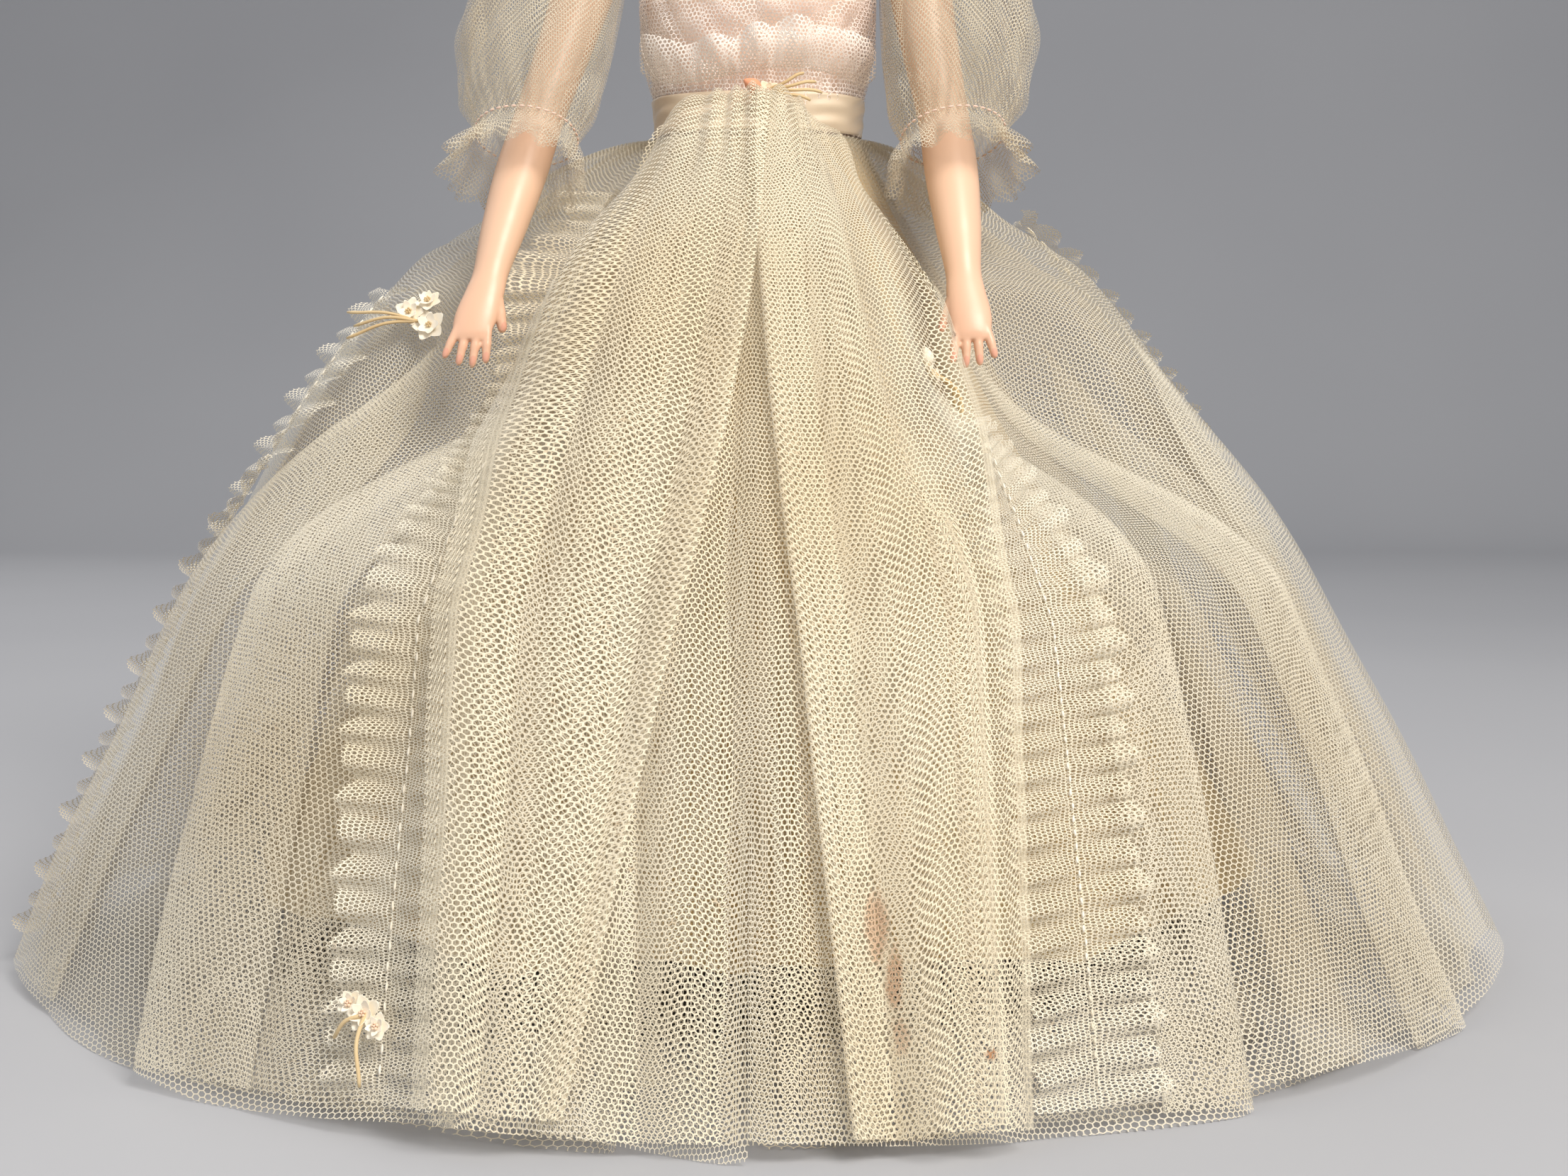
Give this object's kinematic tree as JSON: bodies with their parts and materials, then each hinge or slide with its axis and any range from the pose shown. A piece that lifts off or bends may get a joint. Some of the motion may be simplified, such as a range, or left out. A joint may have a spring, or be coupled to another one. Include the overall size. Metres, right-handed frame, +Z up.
{
  "type": "fashion doll",
  "caption": "Standing strung fashion doll with sleep eyes and turning head, arms and legs, in a full-length layered tulle ball gown with puffed sleeves, satin sash and ruched trim.",
  "frame": {"origin": "on the floor, at the middle of the gown's hem and under the doll's own axis", "axes": "+Z up through the doll's head, the doll faces -Y, and its left side is +X"},
  "size_m": [0.5063, 0.5064, 0.4595],
  "materials": {
    "skin": "satin moulded hard plastic",
    "hair": "combed synthetic fibre",
    "eye": "polished",
    "steel": "bright wire",
    "elastic": "covered elastic cord",
    "shoe": "smooth",
    "lining": "matt peach lining",
    "tulle": "fine ivory net",
    "taffeta": "crisp yellowed taffeta",
    "satin": "glossy satin ribbon",
    "petal": "pressed cloth petals on wrapped wire"
  },
  "bodies": {
    "torso": {"torso_front_shell": "skin", "torso_back_shell": "skin", "arm_elastic": "elastic", "hip_elastic": "elastic", "body_elastic": "elastic", "bodice_lining": "lining", "bodice_tulle": "tulle", "waist_sash": "satin", "neckline_frill": "tulle", "taffeta_slip": "taffeta", "petticoat": "tulle", "outer_skirt": "tulle", "front_panel": "tulle", "front_right_ruche": "tulle", "front_left_ruche": "tulle", "side_right_ruche": "tulle", "side_left_ruche": "tulle", "back_right_ruche": "tulle", "back_left_ruche": "tulle", "right_hip_spray": "petal", "left_hip_spray": "petal", "hem_spray": "petal", "waist_spray": "petal", "upper_snap": "steel", "lower_snap": "steel"},
    "head": {"head_shell": "skin", "wig": "hair", "neck_hook": "steel"},
    "sleep_eyes": {"left_eye": "eye", "right_eye": "eye", "eye_rocker": "steel"},
    "left_arm_body": {"left_arm": "skin", "left_arm_hook": "steel", "left_sleeve": "tulle"},
    "right_arm_body": {"right_arm": "skin", "right_arm_hook": "steel", "right_sleeve": "tulle"},
    "left_leg_body": {"left_leg": "skin", "left_leg_hook": "steel", "left_shoe": "shoe"},
    "right_leg_body": {"right_leg": "skin", "right_leg_hook": "steel", "right_shoe": "shoe"}
  },
  "joints": [
    {"name": "neck_swivel", "type": "hinge", "parent": "torso", "child": "head", "pos_m": [0, 0.001, 0.377], "axis": [0, 0, 1], "range_deg": [-75, 75]},
    {"name": "eye_rock", "type": "hinge", "parent": "head", "child": "sleep_eyes", "pos_m": [0, -0.0145, 0.4216], "axis": [1, 0, 0], "range_deg": [0, 60]},
    {"name": "left_shoulder", "type": "hinge", "parent": "torso", "child": "left_arm_body", "pos_m": [0.041, 0.001, 0.357], "axis": [-1, 0, 0], "range_deg": [0, 150]},
    {"name": "right_shoulder", "type": "hinge", "parent": "torso", "child": "right_arm_body", "pos_m": [-0.041, 0.001, 0.357], "axis": [-1, 0, 0], "range_deg": [0, 150]},
    {"name": "left_hip", "type": "hinge", "parent": "torso", "child": "left_leg_body", "pos_m": [0.018, 0.001, 0.23], "axis": [-1, 0, 0], "range_deg": [-25, 32]},
    {"name": "right_hip", "type": "hinge", "parent": "torso", "child": "right_leg_body", "pos_m": [-0.018, 0.001, 0.23], "axis": [-1, 0, 0], "range_deg": [-25, 32]}
  ]
}
